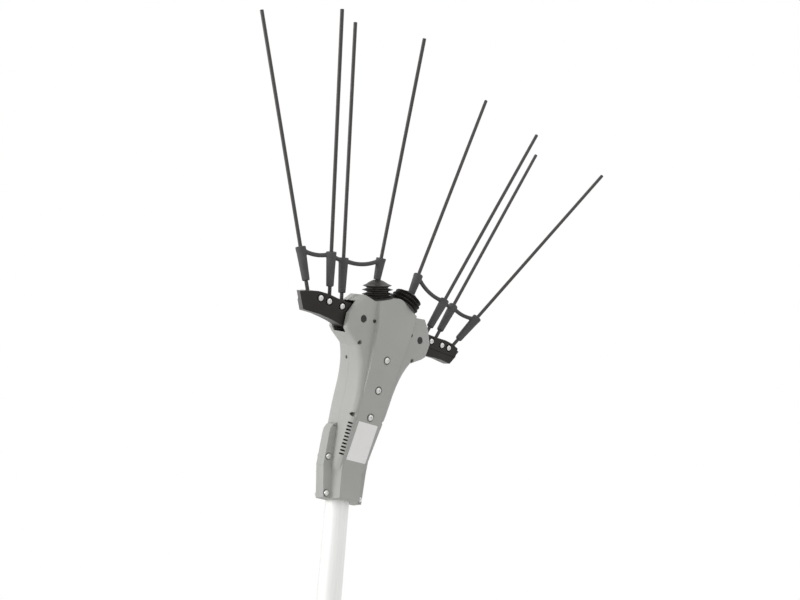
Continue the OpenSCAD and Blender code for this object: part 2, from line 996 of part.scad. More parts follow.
// The blade of an arm: its side view, cut off aslant at the outer end
module arm_blade() {
    difference() {
        rotate([90, 0, 0])
        linear_extrude(arm_depth, center = true)
        polygon([for (p = arm_side_shares) [p.x * arm_reach, p.y * arm_root_h]]);
        translate([arm_reach, 0, arm_end_h])
        rotate([0, arm_end_tilt, -arm_end_turn])
        translate([0, -arm_reach, -arm_reach])
        cube(arm_reach * 2);
    }
}

// The seat of the rod clamp bar up to the given share of the reach
module bar_space(end) {
    translate([bar_shares[0] * arm_reach, -arm_depth, bar_foot_share * arm_root_h])
    cube([(end - bar_shares[0]) * arm_reach, arm_depth + bar_split_share * arm_half, arm_root_h * 2]);
}

// The face under the bar stands back a little
module bar_step() {
    translate([bar_shares[0] * arm_reach, -arm_depth, -arm_root_h * 2])
    cube([arm_reach, arm_depth - arm_half + bar_relief, arm_root_h * (2 + bar_foot_share)]);
}

module clamp_holes() {
    for (u = clamp_screw_places) {
        translate([u, 0, clamp_screw_h]) {
            across(clamp_shank_d + fit_gap * 2, -arm_depth, arm_depth);
            across(clamp_sink_d, -arm_depth, clamp_sink - arm_half);
            across(clamp_sink_d, arm_half - clamp_sink, arm_depth);
        }
    }
}

module rake_arm(side) {
    color([0.09, 0.09, 0.09])
    rake_frame(side)
    difference() {
        union() {
            difference() {
                arm_blade();
                bar_space(bar_end_share);
                bar_step();
            }
            across(arm_hub_d, -arm_half, arm_half);
            translate([-lever_reach, -arm_half, -lever_h / 2])
            cube([lever_reach, arm_depth, lever_h]);
            intersection() {
                rod_frame(3)
                translate([0, 0, -rod_foot_h[3]])
                cylinder(d = rod_boss_d, h = rod_foot_h[3]);
                translate([-lever_reach, -arm_half, 0])
                cube([lever_reach, arm_depth, rod_foot_h[3] * 2]);
            }
        }
        across(pivot_bush_d, -arm_depth, arm_depth);
        translate([-lever_r, 0, 0])
        across(pin_d, -arm_depth, arm_depth);
        rod_bores();
        clamp_holes();
    }
}

module pivot_bush(side) {
    color([0.72, 0.58, 0.3])
    rake_frame(side)
    difference() {
        across(pivot_bush_d, -arm_half, arm_half);
        across(pivot_sleeve_d + fit_gap * 2, -arm_depth, arm_depth);
    }
}

module clamp_bar(side) {
    color([0.09, 0.09, 0.09])
    rake_frame(side)
    difference() {
        intersection() {
            arm_blade();
            bar_space(bar_shares[1]);
        }
        rod_bores();
        clamp_holes();
    }
}

// The clamp screws have their heads at the front on both rakes
module clamp_screws(side) {
    color("silver")
    rake_frame(side)
    rotate([0, 0, side > 0 ? 0 : 180])
    for (u = clamp_screw_places) {
        translate([side * u, 0, clamp_screw_h])
        front_screw(clamp_head_d, clamp_head_h, clamp_shank_d, clamp_sink - arm_half, arm_half);
    }
}

module clamp_nuts(side) {
    color("silver")
    rake_frame(side)
    rotate([0, 0, side > 0 ? 0 : 180])
    for (u = clamp_screw_places) {
        translate([side * u, 0, clamp_screw_h])
        difference() {
            hex_across(clamp_nut_d, arm_half - clamp_sink, arm_half - clamp_sink + clamp_nut_h);
            across(clamp_shank_d + fit_gap * 2, -arm_depth, arm_depth);
        }
    }
}

module drive_pin(side) {
    color("silver")
    rake_frame(side)
    rotate([0, 0, side > 0 ? 0 : 180])
    translate([-side * lever_r, 0, 0])
    across(pin_d, -yoke_front, pin_back);
}

// One sagging web between two sleeves, as rings along its curve
module web(i) {
    a = rod_point(i, sleeve_start[i] + sleeve_len - sleeve_short[i] - web_levels[i]);
    b = rod_point(i + 1, sleeve_start[i + 1] + sleeve_len - sleeve_short[i + 1] - web_levels[i + 1]);
    run = b - a;
    across_dir = [run.y, -run.x, 0] / norm([run.x, run.y]);
    rings = [for (k = [0 : web_steps])
        let(
            t = k / web_steps,
            c = a + run * t - [0, 0, web_sag[i] * 4 * t * (1 - t)],
            slope = run - [0, 0, web_sag[i] * 4 * (1 - 2 * t)],
            ahead = slope / norm(slope),
            up = cross(across_dir, ahead))
        [for (j = [0 : web_sides - 1])
            let(q = 360 * j / web_sides)
            c + (across_dir * cos(q) - up * sin(q)) * web_d / 2]];
    skin(rings);
}

module rod_sleeves(side) {
    color([0.28, 0.28, 0.28])
    rake_frame(side)
    difference() {
        union() {
            for (i = [0 : 3]) {
                rod_frame(i)
                translate([0, 0, sleeve_start[i]])
                cylinder(d1 = sleeve_low_d, d2 = sleeve_top_d, h = sleeve_len - sleeve_short[i]);
            }
            for (i = [0 : 2]) {
                web(i);
            }
        }
        for (i = [0 : 3]) {
            rod_frame(i)
            cylinder(d = rod_d + fit_gap * 2, h = rod_len);
        }
    }
}

// Rubber bellows around the innermost rod, seated square on the roof slope
module bellows(side) {
    tips = [for (k = [0 : rib_count - 1]) bellows_d - rib_steps[k]];
    ribs = [for (k = [0 : rib_count - 1], p = [0 : 3])
        [(p == 1 || p == 2 ? tips[k] : bellows_root_d) / 2, bellows_base_h + (k + rib_shares[p]) * rib_pitch]];
    cone_low = bellows_base_h + rib_count * rib_pitch;
    color([0.06, 0.06, 0.06])
    head_frame()
    rotate([0, 0, side > 0 ? 0 : 180])
    difference() {
        translate(bellows_seat)
        rotate([0, roof_slope, 0])
        rotate_extrude()
        polygon(concat(
            [[bellows_bore / 2, 0], [bellows_base_d / 2, 0], [bellows_base_d / 2, bellows_base_h / 2],
                [bellows_root_d / 2, bellows_base_h]],
            ribs,
            [[bellows_neck_d / 2, cone_low + bellows_cone_h],
                [0, cone_low + bellows_cone_h], [0, cone_low + bellows_cone_h - wall],
                [bellows_bore / 2, cone_low - wall]]));
        translate([pivot_span / 2, 0, 0])
        rod_frame(3)
        cylinder(d = rod_d + run_gap * 4, h = rod_len);
    }
}

module left_bellows() {
    bellows(-1);
}

module right_bellows() {
    bellows(1);
}

pole_tube();
front_shell();
rear_shell();
centre_screws();
ear_screws();
neck_screws();
flange_screws();
flange_nuts();
left_pivot_bolt();
right_pivot_bolt();
pivot_nuts();
left_pivot_sleeve();
right_pivot_sleeve();
motor_can();
motor_end_cap();
motor_saddle();
gearbox();
yoke_guide();
crank_bearing();
left_bellows();
right_bellows();
rake_arm(-1);  // left_rake_arm
pivot_bush(-1);  // left_pivot_bush
clamp_bar(-1);  // left_clamp_bar
clamp_screws(-1);  // left_clamp_screws
clamp_nuts(-1);  // left_clamp_nuts
rod(-1, 0);  // left_rod_1
rod(-1, 1);  // left_rod_2
rod(-1, 2);  // left_rod_3
rod(-1, 3);  // left_rod_4
rod_sleeves(-1);  // left_rod_sleeves
drive_pin(-1);  // left_drive_pin
rake_arm(1);  // right_rake_arm
pivot_bush(1);  // right_pivot_bush
clamp_bar(1);  // right_clamp_bar
clamp_screws(1);  // right_clamp_screws
clamp_nuts(1);  // right_clamp_nuts
rod(1, 0);  // right_rod_1
rod(1, 1);  // right_rod_2
rod(1, 2);  // right_rod_3
rod(1, 3);  // right_rod_4
rod_sleeves(1);  // right_rod_sleeves
drive_pin(1);  // right_drive_pin
crank_disc();
crank_pin();
crank_roller();
drive_yoke();
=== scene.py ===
import bpy
import bmesh
import json
import math
from mathutils import Matrix, Vector


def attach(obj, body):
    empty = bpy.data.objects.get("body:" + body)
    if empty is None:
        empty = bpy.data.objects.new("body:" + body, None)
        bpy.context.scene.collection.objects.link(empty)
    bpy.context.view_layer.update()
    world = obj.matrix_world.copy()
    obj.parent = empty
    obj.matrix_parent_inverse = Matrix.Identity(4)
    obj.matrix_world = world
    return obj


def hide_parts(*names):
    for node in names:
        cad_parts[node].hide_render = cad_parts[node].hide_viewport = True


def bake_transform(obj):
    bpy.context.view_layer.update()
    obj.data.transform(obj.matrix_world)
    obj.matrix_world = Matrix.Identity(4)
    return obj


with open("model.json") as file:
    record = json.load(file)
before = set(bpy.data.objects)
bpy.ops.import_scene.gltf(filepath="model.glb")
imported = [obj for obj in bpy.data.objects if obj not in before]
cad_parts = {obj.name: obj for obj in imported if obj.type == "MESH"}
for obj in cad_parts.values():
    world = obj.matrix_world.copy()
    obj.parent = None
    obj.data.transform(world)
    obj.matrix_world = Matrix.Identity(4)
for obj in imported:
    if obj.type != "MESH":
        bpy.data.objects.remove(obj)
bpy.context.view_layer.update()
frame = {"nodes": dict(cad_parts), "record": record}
nodes = frame["nodes"]
scene = bpy.context.scene
print("frame loaded:", len(nodes), "nodes")

# sizes are in mm, as in the part's own drawing, and become metres in the point functions
mmPerMetre = 1000

# the head leans on the pole
head = {
    "lean": 18.6,
    "bendHeight": 335.0,
    "bendDrop": 227.0,
    "pivotHalf": 58.0,
    "roofSlope": 24.5,
    "roofHalf": 42.0,
    "shoulder": 31.0,
    "ridgeR": 20.0,
}


def headVector(x, y, z):
    a = math.radians(head["lean"])
    return Vector((x, y * math.cos(a) - z * math.sin(a), y * math.sin(a) + z * math.cos(a)))


def headPoint(x, y, z):
    p = headVector(x, y, z + head["bendDrop"])
    p.z += head["bendHeight"]
    return p / mmPerMetre


def rakePoint(side, p):
    # the left rake is the right one turned half round
    return headPoint(side * (head["pivotHalf"] + p[0]), side * p[1], p[2])


# materials

def newMaterial(name):
    m = bpy.data.materials.new(name)
    m.use_nodes = True
    tree = m.node_tree
    return m, tree, tree.nodes["Principled BSDF"]


def link(tree, a, b):
    tree.links.new(a, b)


def put(tree, kind, **values):
    n = tree.nodes.new(kind)
    for k, v in values.items():
        setattr(n, k, v)
    return n


def groupTree(name, ins, outs):
    g = bpy.data.node_groups.new(name, "ShaderNodeTree")
    for label, kind, value in ins:
        s = g.interface.new_socket(name=label, in_out="INPUT", socket_type=kind)
        s.default_value = value
    for label, kind in outs:
        g.interface.new_socket(name=label, in_out="OUTPUT", socket_type=kind)
    return g, put(g, "NodeGroupInput"), put(g, "NodeGroupOutput")


grainNoise = {"grainScale": 1500.0, "grainDetail": 3, "cloudScale": 30.0, "cloudDetail": 4, "cloudRough": 0.6}
# painted edge highlight: how far the edges are rounded and how their paler colour is broken up
edgeHighlightPaint = {
    "radius": 0.0008, "breakUp": 180.0, "samples": 6, "detail": 5, "plainDot": 0.985, "fullHighlightDot": 0.75}


def makeMouldGrain():
    # fine spark-eroded grain and slow cloudiness of a moulded surface
    g, gi, go = groupTree("mouldGrain", [
        ("Grain Scale", "NodeSocketFloat", grainNoise["grainScale"]),
        ("Cloud Scale", "NodeSocketFloat", grainNoise["cloudScale"])],
        [("Height", "NodeSocketFloat"), ("Cloud", "NodeSocketFloat")])
    at = put(g, "ShaderNodeTexCoord")
    fine = put(g, "ShaderNodeTexNoise")
    fine.inputs["Detail"].default_value = grainNoise["grainDetail"]
    slow = put(g, "ShaderNodeTexNoise")
    slow.inputs["Detail"].default_value = grainNoise["cloudDetail"]
    slow.inputs["Roughness"].default_value = grainNoise["cloudRough"]
    link(g, at.outputs["Object"], fine.inputs["Vector"])
    link(g, at.outputs["Object"], slow.inputs["Vector"])
    link(g, gi.outputs["Grain Scale"], fine.inputs["Scale"])
    link(g, gi.outputs["Cloud Scale"], slow.inputs["Scale"])
    link(g, fine.outputs["Fac"], go.inputs["Height"])
    link(g, slow.outputs["Fac"], go.inputs["Cloud"])
    return g


def makePaintedEdgeHighlight():
    # painted edge highlight: paler colour where the rounded normal leaves the true one, broken up by noise;
    # the rounded normal itself also goes on to the shading
    g, gi, go = groupTree("paintedEdgeHighlight", [
        ("Radius", "NodeSocketFloat", edgeHighlightPaint["radius"]),
        ("Break Up", "NodeSocketFloat", edgeHighlightPaint["breakUp"])],
        [("Mask", "NodeSocketFloat"), ("Normal", "NodeSocketVector")])
    soft = put(g, "ShaderNodeBevel", samples=edgeHighlightPaint["samples"])
    geo = put(g, "ShaderNodeNewGeometry")
    at = put(g, "ShaderNodeTexCoord")
    noise = put(g, "ShaderNodeTexNoise")
    noise.inputs["Detail"].default_value = edgeHighlightPaint["detail"]
    dot = put(g, "ShaderNodeVectorMath", operation="DOT_PRODUCT")
    span = put(g, "ShaderNodeMapRange", clamp=True)
    span.inputs["From Min"].default_value = edgeHighlightPaint["plainDot"]
    span.inputs["From Max"].default_value = edgeHighlightPaint["fullHighlightDot"]
    mul = put(g, "ShaderNodeMath", operation="MULTIPLY")
    link(g, gi.outputs["Radius"], soft.inputs["Radius"])
    link(g, gi.outputs["Break Up"], noise.inputs["Scale"])
    link(g, at.outputs["Object"], noise.inputs["Vector"])
    link(g, soft.outputs["Normal"], dot.inputs[0])
    link(g, geo.outputs["Normal"], dot.inputs[1])
    link(g, dot.outputs["Value"], span.inputs["Value"])
    link(g, span.outputs["Result"], mul.inputs[0])
    link(g, noise.outputs["Fac"], mul.inputs[1])
    link(g, mul.outputs["Value"], go.inputs["Mask"])
    link(g, soft.outputs["Normal"], go.inputs["Normal"])
    return g


mouldGrain = makeMouldGrain()
paintedEdgeHighlight = makePaintedEdgeHighlight()


mouldedSkin = {"cloudStops": (0.3, 0.7), "roughSpread": 0.05, "grainHeight": 0.0002}
metalSkin = {"lineStops": (0.25, 0.75), "roughSpread": 0.08, "lineHeight": 0.0001, "lineDetail": 5}


def ramp(tree, value, stops, low, high):
    r = put(tree, "ShaderNodeValToRGB")
    for e, place, colour in zip(r.color_ramp.elements, stops, (low, high)):
        e.position = place
        e.color = (*colour, 1)
    link(tree, value, r.inputs["Fac"])
    return r


def mouldedMaterial(name, look):
    m, tree, skin = newMaterial(name)
    grain = put(tree, "ShaderNodeGroup", node_tree=mouldGrain)
    grain.inputs["Grain Scale"].default_value = look["grainScale"]
    grain.inputs["Cloud Scale"].default_value = look["cloudScale"]
    edgeSheen = put(tree, "ShaderNodeGroup", node_tree=paintedEdgeHighlight)
    edgeSheen.inputs["Radius"].default_value = look["edgeRadius"]
    cloud = ramp(tree, grain.outputs["Cloud"], mouldedSkin["cloudStops"], look["low"], look["high"])
    # painted highlight: the edges are mixed towards a paler tone
    sheenedColour = put(tree, "ShaderNodeMix", data_type="RGBA")
    sheenedColour.inputs["B"].default_value = (*look["highlightTone"], 1)
    link(tree, edgeSheen.outputs["Mask"], sheenedColour.inputs["Factor"])
    link(tree, cloud.outputs["Color"], sheenedColour.inputs["A"])
    link(tree, sheenedColour.outputs["Result"], skin.inputs["Base Color"])
    rough = put(tree, "ShaderNodeMapRange")
    rough.inputs["To Min"].default_value = look["rough"] - mouldedSkin["roughSpread"]
    rough.inputs["To Max"].default_value = look["rough"] + mouldedSkin["roughSpread"]
    link(tree, grain.outputs["Cloud"], rough.inputs["Value"])
    link(tree, rough.outputs["Result"], skin.inputs["Roughness"])
    bump = put(tree, "ShaderNodeBump")
    bump.inputs["Strength"].default_value = look["bump"]
    bump.inputs["Distance"].default_value = mouldedSkin["grainHeight"]
    link(tree, grain.outputs["Height"], bump.inputs["Height"])
    link(tree, edgeSheen.outputs["Normal"], bump.inputs["Normal"])
    link(tree, bump.outputs["Normal"], skin.inputs["Normal"])
    skin.inputs["Specular IOR Level"].default_value = look["specular"]
    return m


def metalMaterial(name, look):
    m, tree, skin = newMaterial(name)
    at = put(tree, "ShaderNodeTexCoord")
    turn = put(tree, "ShaderNodeMapping")
    turn.inputs["Scale"].default_value = look["stretch"]
    lines = put(tree, "ShaderNodeTexNoise")
    lines.inputs["Scale"].default_value = look["scale"]
    lines.inputs["Detail"].default_value = metalSkin["lineDetail"]
    link(tree, at.outputs["Object"], turn.inputs["Vector"])
    link(tree, turn.outputs["Vector"], lines.inputs["Vector"])
    tone = ramp(tree, lines.outputs["Fac"], metalSkin["lineStops"], look["low"], look["high"])
    link(tree, tone.outputs["Color"], skin.inputs["Base Color"])
    rough = put(tree, "ShaderNodeMapRange")
    rough.inputs["To Min"].default_value = look["rough"] - metalSkin["roughSpread"]
    rough.inputs["To Max"].default_value = look["rough"] + metalSkin["roughSpread"]
    link(tree, lines.outputs["Fac"], rough.inputs["Value"])
    link(tree, rough.outputs["Result"], skin.inputs["Roughness"])
    bump = put(tree, "ShaderNodeBump")
    bump.inputs["Strength"].default_value = look["bump"]
    bump.inputs["Distance"].default_value = metalSkin["lineHeight"]
    link(tree, lines.outputs["Fac"], bump.inputs["Height"])
    link(tree, bump.outputs["Normal"], skin.inputs["Normal"])
    skin.inputs["Metallic"].default_value = look["metallic"]
    return m


housingGrey = mouldedMaterial("housingGrey", {
    "low": (0.40, 0.405, 0.38), "high": (0.43, 0.435, 0.41), "highlightTone": (0.5, 0.505, 0.48),
    "grainScale": 1600, "cloudScale": 18, "edgeRadius": 0.0016, "rough": 0.5, "bump": 0.12, "specular": 0.4})
rakeBlack = mouldedMaterial("rakeBlack", {
    "low": (0.014, 0.012, 0.0105), "high": (0.022, 0.019, 0.016), "highlightTone": (0.12, 0.112, 0.1),
    "grainScale": 1200, "cloudScale": 40, "edgeRadius": 0.0012, "rough": 0.36, "bump": 0.1, "specular": 0.32})
sleeveRubber = mouldedMaterial("sleeveRubber", {
    "low": (0.07, 0.069, 0.07), "high": (0.088, 0.086, 0.087), "highlightTone": (0.13, 0.13, 0.13),
    "grainScale": 900, "cloudScale": 60, "edgeRadius": 0.0006, "rough": 0.62, "bump": 0.2, "specular": 0.35})
bellowsRubber = mouldedMaterial("bellowsRubber", {
    "low": (0.026, 0.024, 0.022), "high": (0.042, 0.039, 0.036), "highlightTone": (0.1, 0.096, 0.092),
    "grainScale": 900, "cloudScale": 60, "edgeRadius": 0.0005, "rough": 0.5, "bump": 0.15, "specular": 0.45})
guideWhite = mouldedMaterial("guideWhite", {
    "low": (0.66, 0.66, 0.62), "high": (0.72, 0.72, 0.68), "highlightTone": (0.75, 0.75, 0.72),
    "grainScale": 900, "cloudScale": 40, "edgeRadius": 0.0005, "rough": 0.45, "bump": 0.08, "specular": 0.5})
poleSatin = metalMaterial("poleSatin", {
    "low": (0.84, 0.845, 0.83), "high": (0.92, 0.92, 0.905), "stretch": (1, 1, 0.02), "scale": 900,
    "rough": 0.72, "bump": 0.05, "metallic": 1.0})
screwZinc = metalMaterial("screwZinc", {
    "low": (0.72, 0.72, 0.71), "high": (0.86, 0.86, 0.85), "stretch": (1, 1, 1), "scale": 900,
    "rough": 0.3, "bump": 0.06, "metallic": 1.0})
boltBlack = metalMaterial("boltBlack", {
    "low": (0.03, 0.03, 0.028), "high": (0.06, 0.06, 0.056), "stretch": (1, 1, 1), "scale": 700,
    "rough": 0.42, "bump": 0.1, "metallic": 0.6})
groundSteel = metalMaterial("groundSteel", {
    "low": (0.42, 0.42, 0.42), "high": (0.56, 0.56, 0.56), "stretch": (1, 0.05, 1), "scale": 900,
    "rough": 0.32, "bump": 0.08, "metallic": 1.0})
castGear = metalMaterial("castGear", {
    "low": (0.42, 0.43, 0.44), "high": (0.55, 0.56, 0.58), "stretch": (1, 1, 1), "scale": 500,
    "rough": 0.5, "bump": 0.3, "metallic": 1.0})
plainBronze = metalMaterial("plainBronze", {
    "low": (0.5, 0.35, 0.13), "high": (0.6, 0.43, 0.18), "stretch": (1, 1, 1), "scale": 700,
    "rough": 0.36, "bump": 0.08, "metallic": 1.0})
motorSteel = metalMaterial("motorSteel", {
    "low": (0.3, 0.31, 0.33), "high": (0.4, 0.41, 0.43), "stretch": (1, 1, 0.1), "scale": 700,
    "rough": 0.4, "bump": 0.06, "metallic": 1.0})
rodFibre = metalMaterial("rodFibre", {
    "low": (0.03, 0.028, 0.027), "high": (0.075, 0.068, 0.064), "stretch": (1, 1, 0.05), "scale": 1400,
    "rough": 0.4, "bump": 0.15, "metallic": 0.0})

finishes = {
    "pole_aluminium": poleSatin, "housing_grey": housingGrey, "screw_steel": screwZinc,
    "bolt_dark": boltBlack, "crank_steel": groundSteel, "motor_steel": motorSteel,
    "rake_black": rakeBlack, "rubber_black": bellowsRubber, "rubber_grey": sleeveRubber,
    "gear_cast": castGear, "guide_plastic": guideWhite, "bronze": plainBronze, "rod_dark": rodFibre}
# painted shade: these screws sit deep in their holes and get the dark bolt finish instead of their own,
# standing for the shade there
shadeDarkenedScrews = ("ear_screws", "neck_screws")  # deep in their holes, dark in the photo
for row in frame["record"]["subparts"]:
    cad = nodes[row["node"]]
    cad.data.materials.clear()
    # painted shade: the sunk screws take the dark bolt finish
    sunk = row["node"] in shadeDarkenedScrews
    cad.data.materials.append(boltBlack if sunk else finishes[row["material_slot"]])
print("materials:", len(finishes))


# geometry node trees

def geometryTree(name, ins):
    g = bpy.data.node_groups.new(name, "GeometryNodeTree")
    ids = {}
    g.interface.new_socket(name="Geometry", in_out="INPUT", socket_type="NodeSocketGeometry")
    for label, kind in ins:
        ids[label] = g.interface.new_socket(name=label, in_out="INPUT", socket_type=kind).identifier
    g.interface.new_socket(name="Geometry", in_out="OUTPUT", socket_type="NodeSocketGeometry")
    return g, ids, put(g, "NodeGroupInput"), put(g, "NodeGroupOutput")


# join in metres, angle in degrees
moulding = {
    "nodes": ("front_shell", "rear_shell", "left_rake_arm", "right_rake_arm",
              "left_clamp_bar", "right_clamp_bar"),
    "join": 0.00001, "smoothAngle": 28}


def makeSmoothMoulding():
    # joins the loose triangles and shades shallow edges smooth
    g, ids, gi, go = geometryTree("smoothMoulding", [("Angle", "NodeSocketFloat")])
    merge = put(g, "GeometryNodeMergeByDistance")
    merge.inputs["Distance"].default_value = moulding["join"]
    angle = put(g, "GeometryNodeInputMeshEdgeAngle")
    shallow = put(g, "FunctionNodeCompare", operation="LESS_THAN")
    edges = put(g, "GeometryNodeSetShadeSmooth", domain="EDGE")
    faces = put(g, "GeometryNodeSetShadeSmooth", domain="FACE")
    link(g, gi.outputs["Geometry"], merge.inputs["Geometry"])
    link(g, angle.outputs["Unsigned Angle"], shallow.inputs["A"])
    link(g, gi.outputs["Angle"], shallow.inputs["B"])
    link(g, merge.outputs["Geometry"], faces.inputs["Geometry"])
    link(g, faces.outputs["Geometry"], edges.inputs["Geometry"])
    link(g, shallow.outputs["Result"], edges.inputs["Shade Smooth"])
    link(g, edges.outputs["Geometry"], go.inputs["Geometry"])
    return g, ids


def makeSweepTube():
    # a round tube along each line of points, as thick as the points say
    g, ids, gi, go = geometryTree("sweepTube", [
        ("Sides", "NodeSocketInt"), ("Material", "NodeSocketMaterial")])
    ringCurve = put(g, "GeometryNodeCurvePrimitiveCircle")
    ringCurve.inputs["Radius"].default_value = 1
    radius = put(g, "GeometryNodeInputRadius")
    sweep = put(g, "GeometryNodeCurveToMesh")
    sweep.inputs["Fill Caps"].default_value = True
    real = put(g, "GeometryNodeRealizeInstances")
    paint = put(g, "GeometryNodeSetMaterial")
    link(g, gi.outputs["Sides"], ringCurve.inputs["Resolution"])
    link(g, gi.outputs["Geometry"], sweep.inputs["Curve"])
    link(g, ringCurve.outputs["Curve"], sweep.inputs["Profile Curve"])
    if "Scale" in sweep.inputs:
        link(g, radius.outputs["Radius"], sweep.inputs["Scale"])
    link(g, sweep.outputs["Mesh"], real.inputs["Geometry"])
    link(g, real.outputs["Geometry"], paint.inputs["Geometry"])
    link(g, gi.outputs["Material"], paint.inputs["Material"])
    link(g, paint.outputs["Geometry"], go.inputs["Geometry"])
    return g, ids


def makePlaceHeads():
    # one screw head on each point, all facing the same way
    g, ids, gi, go = geometryTree("placeHeads", [
        ("Head", "NodeSocketObject"), ("Turn", "NodeSocketVector"), ("Size", "NodeSocketFloat"),
        ("Material", "NodeSocketMaterial")])
    info = put(g, "GeometryNodeObjectInfo")
    place = put(g, "GeometryNodeInstanceOnPoints")
    euler = put(g, "FunctionNodeEulerToRotation")
    real = put(g, "GeometryNodeRealizeInstances")
    paint = put(g, "GeometryNodeSetMaterial")
    link(g, gi.outputs["Head"], info.inputs["Object"])
    link(g, gi.outputs["Geometry"], place.inputs["Points"])
    link(g, info.outputs["Geometry"], place.inputs["Instance"])
    link(g, gi.outputs["Turn"], euler.inputs["Euler"])
    link(g, euler.outputs["Rotation"], place.inputs["Rotation"])
    link(g, gi.outputs["Size"], place.inputs["Scale"])
    link(g, place.outputs["Instances"], real.inputs["Geometry"])
    link(g, real.outputs["Geometry"], paint.inputs["Geometry"])
    link(g, gi.outputs["Material"], paint.inputs["Material"])
    link(g, paint.outputs["Geometry"], go.inputs["Geometry"])
    return g, ids


smoothMoulding = makeSmoothMoulding()
sweepTube = makeSweepTube()
placeHeads = makePlaceHeads()


def runTree(obj, built, values, name):
    # evaluates the tree on obj and returns the result as a plain mesh object at the origin
    tree, ids = built
    mod = obj.modifiers.new("shape", "NODES")
    mod.node_group = tree
    for label, value in values.items():
        mod[ids[label]] = value
    obj.update_tag()
    bpy.context.view_layer.update()
    deps = bpy.context.evaluated_depsgraph_get()
    mesh = bpy.data.meshes.new_from_object(obj.evaluated_get(deps))
    bpy.data.objects.remove(obj)
    made = bpy.data.objects.new(name, mesh)
    scene.collection.objects.link(made)
    return made


def applyModifiers(obj):
    bpy.context.view_layer.update()
    deps = bpy.context.evaluated_depsgraph_get()
    mesh = bpy.data.meshes.new_from_object(obj.evaluated_get(deps))
    obj.modifiers.clear()
    obj.data = mesh


def pathObject(name, lines):
    # lines of (point, radius in metres) as a poly curve
    c = bpy.data.curves.new(name, "CURVE")
    c.dimensions = "3D"
    for line in lines:
        s = c.splines.new("POLY")
        s.points.add(len(line) - 1)
        for p, (co, r) in zip(s.points, line):
            p.co = (*co, 1)
            p.radius = r
    o = bpy.data.objects.new(name, c)
    scene.collection.objects.link(o)
    return o


for name in moulding["nodes"]:
    mod = nodes[name].modifiers.new("smoothMoulding", "NODES")
    mod.node_group = smoothMoulding[0]
    mod[smoothMoulding[1]["Angle"]] = math.radians(moulding["smoothAngle"])


def wallFaces(bm, rings):
    for low, high in zip(rings, rings[1:]):
        for k in range(len(low)):
            j = (k + 1) % len(low)
            bm.faces.new((low[k], low[j], high[j], high[k]))


# rods, sleeves and webs

rods = {
    "footOut": (85.4, 49, 24, -33),
    "footBack": (-9.8, -4, -7, -7),
    "footHeight": (16, 16, 16, 20),
    "splay": (24.7, 20, 16.3, 10.1),
    "lean": (-11.2, 4, -1, 4.5),
}
# profileShares: place along the sleeve and share of its tapered radius there
sleeves = {
    "start": (11.5, 15, 13, 47.5),
    "length": (49.5, 50.5, 52, 33.5),
    "lowR": 5.5, "topR": 7.4, "sides": 24,
    "profileShares": ((0, 0.86), (0.015, 0.97), (0.03, 1), (0.85, 1), (0.86, 1.04), (0.98, 1.04), (1, 0.95)),
    "webR": 3.2, "webLevel": (3.5, 3.5, 3.5, 3), "webSag": (4.8, 2.5, 6.5),
    "webSteps": 24, "flareShare": 0.35, "flarePower": 6,
    "voxel": 0.0007, "softness": 0.5, "softRounds": 4,
}


def rodPoint(i, s):
    splay, lean = (math.tan(math.radians(rods[key][i])) for key in ("splay", "lean"))
    foot = Vector((rods["footOut"][i], rods["footBack"][i], rods["footHeight"][i]))
    return foot + Vector((splay, lean, 1)).normalized() * s


def sleeveLine(side, i):
    line = []
    for t, share in sleeves["profileShares"]:
        p = rodPoint(i, sleeves["start"][i] + sleeves["length"][i] * t)
        r = (sleeves["lowR"] + (sleeves["topR"] - sleeves["lowR"]) * t) * share
        line.append((rakePoint(side, p), r / mmPerMetre))
    return line


def webEnd(i):
    return rodPoint(i, sleeves["start"][i] + sleeves["length"][i] - sleeves["webLevel"][i])


def webLine(side, i):
    # from one sleeve to the next, hanging square to the span and thicker at both ends
    a = webEnd(i)
    span = webEnd(i + 1) - a
    sag = Vector((span.z, 0, -span.x)).normalized() * math.copysign(sleeves["webSag"][i], span.x)
    line = []
    for k in range(sleeves["webSteps"] + 1):
        t = k / sleeves["webSteps"]
        p = a + span * t + sag * (4 * t * (1 - t))
        r = sleeves["webR"] * (1 + sleeves["flareShare"] * (2 * t - 1) ** sleeves["flarePower"])
        line.append((rakePoint(side, p), r / mmPerMetre))
    return line


def makeSleeves(side, body, node):
    count = len(sleeves["start"])
    lines = [sleeveLine(side, i) for i in range(count)] + [webLine(side, i) for i in range(count - 1)]
    o = runTree(pathObject(node + "Path", lines), sweepTube,
                {"Sides": sleeves["sides"], "Material": sleeveRubber}, node + "Rubber")
    fuse = o.modifiers.new("fuse", "REMESH")
    fuse.mode = "VOXEL"
    fuse.voxel_size = sleeves["voxel"]
    fuse.use_smooth_shade = True
    soften = o.modifiers.new("soften", "SMOOTH")
    soften.factor = sleeves["softness"]
    soften.iterations = sleeves["softRounds"]
    applyModifiers(o)
    o.data.materials.clear()
    o.data.materials.append(sleeveRubber)
    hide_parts(node)
    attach(o, body)
    print("sleeves:", node, len(o.data.polygons), "faces")


makeSleeves(-1, "left_rake", "left_rod_sleeves")
makeSleeves(1, "right_rake", "right_rod_sleeves")


# bellows

# shares and powers say how a fold lies in its pitch and how each wall curves
bellows = {
    "baseR": 24.5, "ridgeSideR": 20.5, "baseHeight": 3.4, "baseShare": 0.45, "basePower": 0.5,
    "pitch": 6.4, "tipR": (24.5, 23.8, 22.3), "rootR": 16.5, "tilt": 4.5,
    "ribPlaceShare": 0.62, "ribHalfShare": 0.36, "ribPower": 0.9,
    "coneHeight": 5.5, "conePower": 0.75, "neckR": 6.6, "shift": 1.2,
    "lipRise": (0.4, 0.6), "lipGap": (0.9, 0.2), "fixedHeight": 4,
    "innerRod": 3, "sides": 96, "step": 0.2,
}


